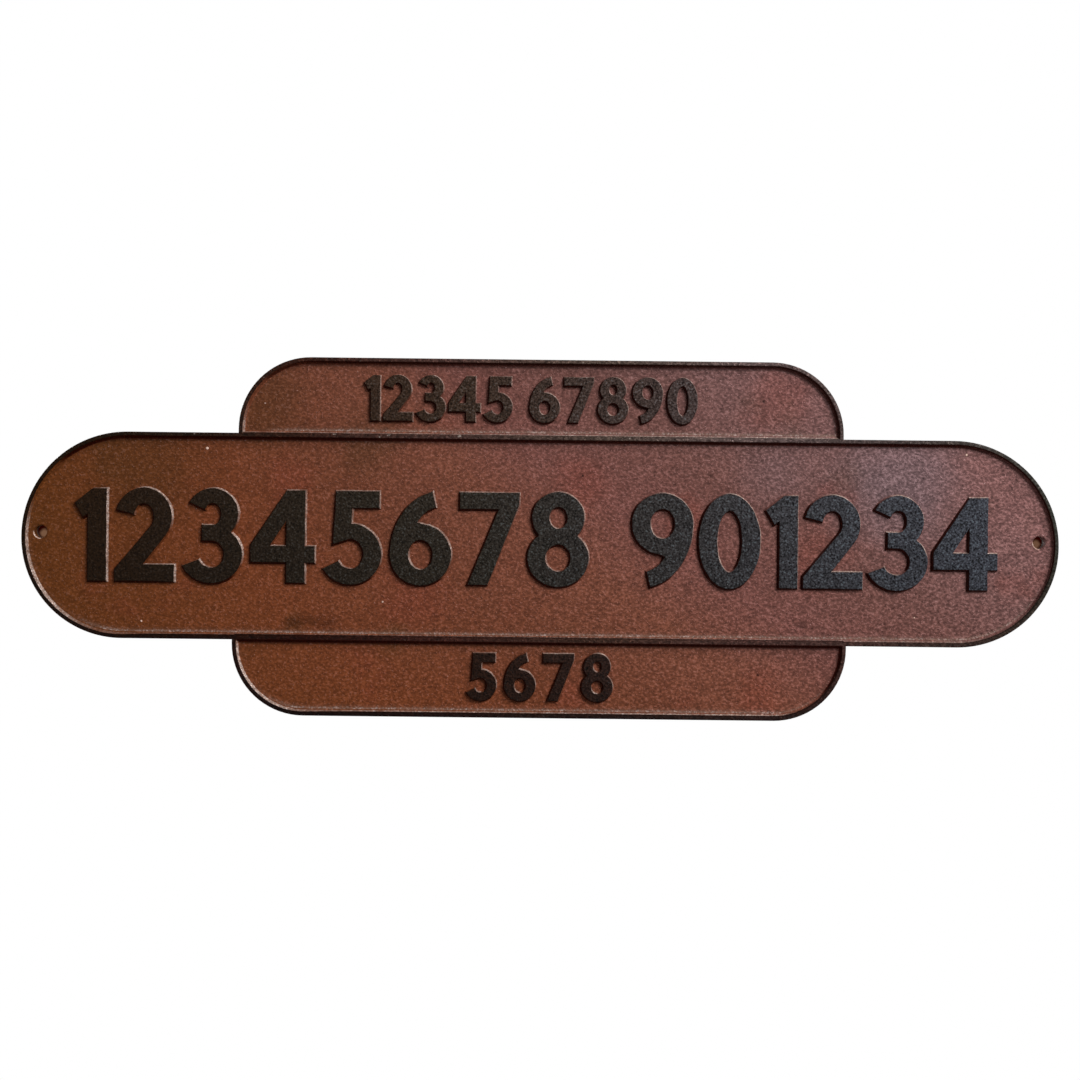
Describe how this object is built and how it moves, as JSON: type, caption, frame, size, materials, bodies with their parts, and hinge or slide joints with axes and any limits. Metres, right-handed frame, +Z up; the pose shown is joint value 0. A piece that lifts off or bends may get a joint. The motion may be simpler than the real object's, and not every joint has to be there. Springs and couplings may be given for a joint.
{
  "type": "cast iron wall sign",
  "caption": "Cast iron wall sign in the railway totem shape: a round-ended bar crossed by an upper and a lower lobe, with raised rims, a hollow back and a screw hole at each end.",
  "frame": {"origin": "midway between the two screw holes, on the plane of the wall that the back lip bears on", "axes": "+X to the right of someone who faces the sign, +Z up, +Y into the wall, so the sign's face looks along -Y"},
  "size_m": [0.42, 0.0074, 0.1456],
  "materials": {
    "field_paint": "satin red-brown paint over sand-cast grain",
    "rim_paint": "worn black paint on the faces, brown on the flanks",
    "back_iron": "thin dark paint over rough sand-cast iron"
  },
  "bodies": {
    "root": {"centre_field": "field_paint", "upper_field": "field_paint", "lower_field": "field_paint", "left_end_rim": "rim_paint", "right_end_rim": "rim_paint", "upper_rim": "rim_paint", "lower_rim": "rim_paint", "upper_divider": "rim_paint", "lower_divider": "rim_paint", "wall_lip": "back_iron", "left_screw_pad": "back_iron", "right_screw_pad": "back_iron"}
  },
  "joints": []
}
